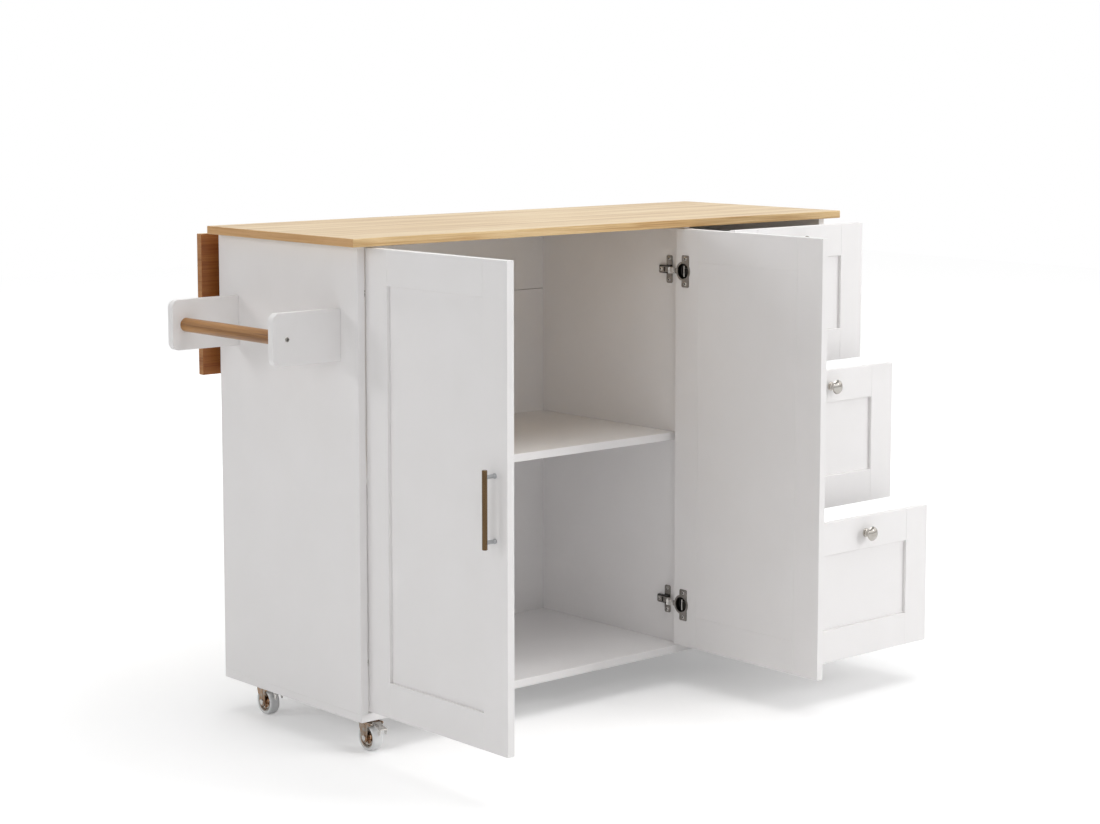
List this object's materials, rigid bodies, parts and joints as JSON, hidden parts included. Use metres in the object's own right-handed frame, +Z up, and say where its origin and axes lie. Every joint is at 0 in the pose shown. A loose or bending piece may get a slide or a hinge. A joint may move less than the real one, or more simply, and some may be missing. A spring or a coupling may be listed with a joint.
{
  "type": "drop leaf kitchen island",
  "caption": "Rolling kitchen island: cabinet with open doors and shelf, stack of drawers, towel rack, fold-up leaf behind and braked casters.",
  "frame": {"origin": "on the floor under the middle of the box that holds the island as it stands, doors and drawers open", "axes": "+Z up, +X along the long side from the towel rack to the drawers, -Y towards the user, out of the doors and drawers"},
  "size_m": [1.351, 0.842, 0.919],
  "materials": {
    "white_board": "white satin paint",
    "oak_board": "light oak surface, clear satin",
    "rod_wood": "light brown wood with an oiled look",
    "polished_nickel": "polished, nickel look",
    "nickel_steel": "plated steel look",
    "bronze_bar": "brushed bronze look",
    "zinc_steel": "bright zinc look",
    "chromed_steel": "chromed sheet steel",
    "grey_tyre": "light grey soft tread"
  },
  "bodies": {
    "carcass": {"bottom_panel": "white_board", "side_panel_left": "white_board", "side_panel_right": "white_board", "divider_panel": "white_board", "back_panel": "white_board", "back_rail": "white_board", "worktop": "oak_board", "shelf": "white_board", "shelf_pins": "nickel_steel", "towel_bracket_front": "white_board", "towel_bracket_rear": "white_board", "towel_rod": "rod_wood", "towel_rod_screws": "nickel_steel", "hinge_arms": "nickel_steel", "drawer_cabinet_slides": "zinc_steel", "leaf_wall_arms": "zinc_steel", "caster_plates": "chromed_steel"},
    "left_door": {"door_left_panel": "white_board", "door_left_frame": "white_board", "door_left_hinge_cups": "nickel_steel", "door_left_handle_bar": "bronze_bar", "door_left_handle_posts": "nickel_steel"},
    "right_door": {"door_right_panel": "white_board", "door_right_frame": "white_board", "door_right_hinge_cups": "nickel_steel", "door_right_handle_bar": "bronze_bar", "door_right_handle_posts": "nickel_steel"},
    "top_drawer": {"drawer_1_front_panel": "white_board", "drawer_1_front_frame": "white_board", "drawer_1_knob": "polished_nickel", "drawer_1_box": "white_board", "drawer_1_slides": "zinc_steel"},
    "middle_drawer": {"drawer_2_front_panel": "white_board", "drawer_2_front_frame": "white_board", "drawer_2_knob": "polished_nickel", "drawer_2_box": "white_board", "drawer_2_slides": "zinc_steel"},
    "bottom_drawer": {"drawer_3_front_panel": "white_board", "drawer_3_front_frame": "white_board", "drawer_3_knob": "polished_nickel", "drawer_3_box": "white_board", "drawer_3_slides": "zinc_steel"},
    "leaf": {"drop_leaf": "oak_board", "leaf_arms": "zinc_steel"},
    "strut_left_link": {"leaf_strut_left": "zinc_steel"},
    "strut_right_link": {"leaf_strut_right": "zinc_steel"},
    "fork_front_left": {"caster_fork_front_left": "chromed_steel"},
    "wheel_front_left": {"caster_wheel_front_left": "grey_tyre"},
    "pedal_front_left": {"caster_pedal_front_left": "chromed_steel"},
    "fork_front_right": {"caster_fork_front_right": "chromed_steel"},
    "wheel_front_right": {"caster_wheel_front_right": "grey_tyre"},
    "pedal_front_right": {"caster_pedal_front_right": "chromed_steel"},
    "fork_rear_left": {"caster_fork_rear_left": "chromed_steel"},
    "wheel_rear_left": {"caster_wheel_rear_left": "grey_tyre"},
    "pedal_rear_left": {"caster_pedal_rear_left": "chromed_steel"},
    "fork_rear_right": {"caster_fork_rear_right": "chromed_steel"},
    "wheel_rear_right": {"caster_wheel_rear_right": "grey_tyre"},
    "pedal_rear_right": {"caster_pedal_rear_right": "chromed_steel"}
  },
  "joints": [
    {"name": "door_left_swing", "type": "hinge", "parent": "carcass", "child": "left_door", "pos_m": [-0.514, -0.0425, 0.484], "axis": [0, 0, -1], "range_deg": [-90, 3]},
    {"name": "door_right_swing", "type": "hinge", "parent": "carcass", "child": "right_door", "pos_m": [0.246, -0.0425, 0.484], "axis": [0, 0, 1], "range_deg": [-90, 3]},
    {"name": "drawer_1_slide", "type": "slide", "parent": "carcass", "child": "top_drawer", "axis": [0, -1, 0], "range_m": [-0.12, 0.19]},
    {"name": "drawer_2_slide", "type": "slide", "parent": "carcass", "child": "middle_drawer", "axis": [0, -1, 0], "range_m": [-0.205, 0.105]},
    {"name": "drawer_3_slide", "type": "slide", "parent": "carcass", "child": "bottom_drawer", "axis": [0, -1, 0], "range_m": [-0.3, 0.01]},
    {"name": "leaf_fold", "type": "hinge", "parent": "carcass", "child": "leaf", "pos_m": [0.0585, 0.396, 0.894], "axis": [1, 0, 0], "range_deg": [0, 90]},
    {"name": "leaf_strut_left", "type": "hinge", "parent": "carcass", "child": "strut_left_link", "pos_m": [-0.2985, 0.391, 0.804], "axis": [1, 0, 0], "range_deg": [0, 132.97]},
    {"name": "leaf_strut_right", "type": "hinge", "parent": "carcass", "child": "strut_right_link", "pos_m": [0.4155, 0.391, 0.804], "axis": [1, 0, 0], "range_deg": [0, 132.97]},
    {"name": "swivel_front_left", "type": "hinge", "parent": "carcass", "child": "fork_front_left", "pos_m": [-0.4885, 0.011, 0.054], "axis": [0, 0, 1], "continuous": true},
    {"name": "wheel_front_left", "type": "hinge", "parent": "fork_front_left", "child": "wheel_front_left", "pos_m": [-0.48927, -0.01099, 0.025], "axis": [0.9994, -0.0349, 0], "continuous": true},
    {"name": "pedal_front_left", "type": "hinge", "parent": "fork_front_left", "child": "pedal_front_left", "pos_m": [-0.48983, -0.02698, 0.052], "axis": [0.9994, -0.0349, 0], "range_deg": [0, 14]},
    {"name": "swivel_front_right", "type": "hinge", "parent": "carcass", "child": "fork_front_right", "pos_m": [0.6055, 0.011, 0.054], "axis": [0, 0, 1], "continuous": true},
    {"name": "wheel_front_right", "type": "hinge", "parent": "fork_front_right", "child": "wheel_front_right", "pos_m": [0.60473, -0.01099, 0.025], "axis": [0.9994, -0.0349, 0], "continuous": true},
    {"name": "pedal_front_right", "type": "hinge", "parent": "fork_front_right", "child": "pedal_front_right", "pos_m": [0.60417, -0.02698, 0.052], "axis": [0.9994, -0.0349, 0], "range_deg": [0, 14]},
    {"name": "swivel_rear_left", "type": "hinge", "parent": "carcass", "child": "fork_rear_left", "pos_m": [-0.4885, 0.331, 0.054], "axis": [0, 0, 1], "continuous": true},
    {"name": "wheel_rear_left", "type": "hinge", "parent": "fork_rear_left", "child": "wheel_rear_left", "pos_m": [-0.48927, 0.30901, 0.025], "axis": [0.9994, -0.0349, 0], "continuous": true},
    {"name": "pedal_rear_left", "type": "hinge", "parent": "fork_rear_left", "child": "pedal_rear_left", "pos_m": [-0.48983, 0.29302, 0.052], "axis": [0.9994, -0.0349, 0], "range_deg": [0, 14]},
    {"name": "swivel_rear_right", "type": "hinge", "parent": "carcass", "child": "fork_rear_right", "pos_m": [0.6055, 0.331, 0.054], "axis": [0, 0, 1], "continuous": true},
    {"name": "wheel_rear_right", "type": "hinge", "parent": "fork_rear_right", "child": "wheel_rear_right", "pos_m": [0.60473, 0.30901, 0.025], "axis": [0.9994, -0.0349, 0], "continuous": true},
    {"name": "pedal_rear_right", "type": "hinge", "parent": "fork_rear_right", "child": "pedal_rear_right", "pos_m": [0.60417, 0.29302, 0.052], "axis": [0.9994, -0.0349, 0], "range_deg": [0, 14]}
  ],
  "couplings": [
    {"joint": "leaf_strut_left", "follows": "leaf_fold", "ratio": 1.4763},
    {"joint": "leaf_strut_right", "follows": "leaf_fold", "ratio": 1.4763}
  ]
}
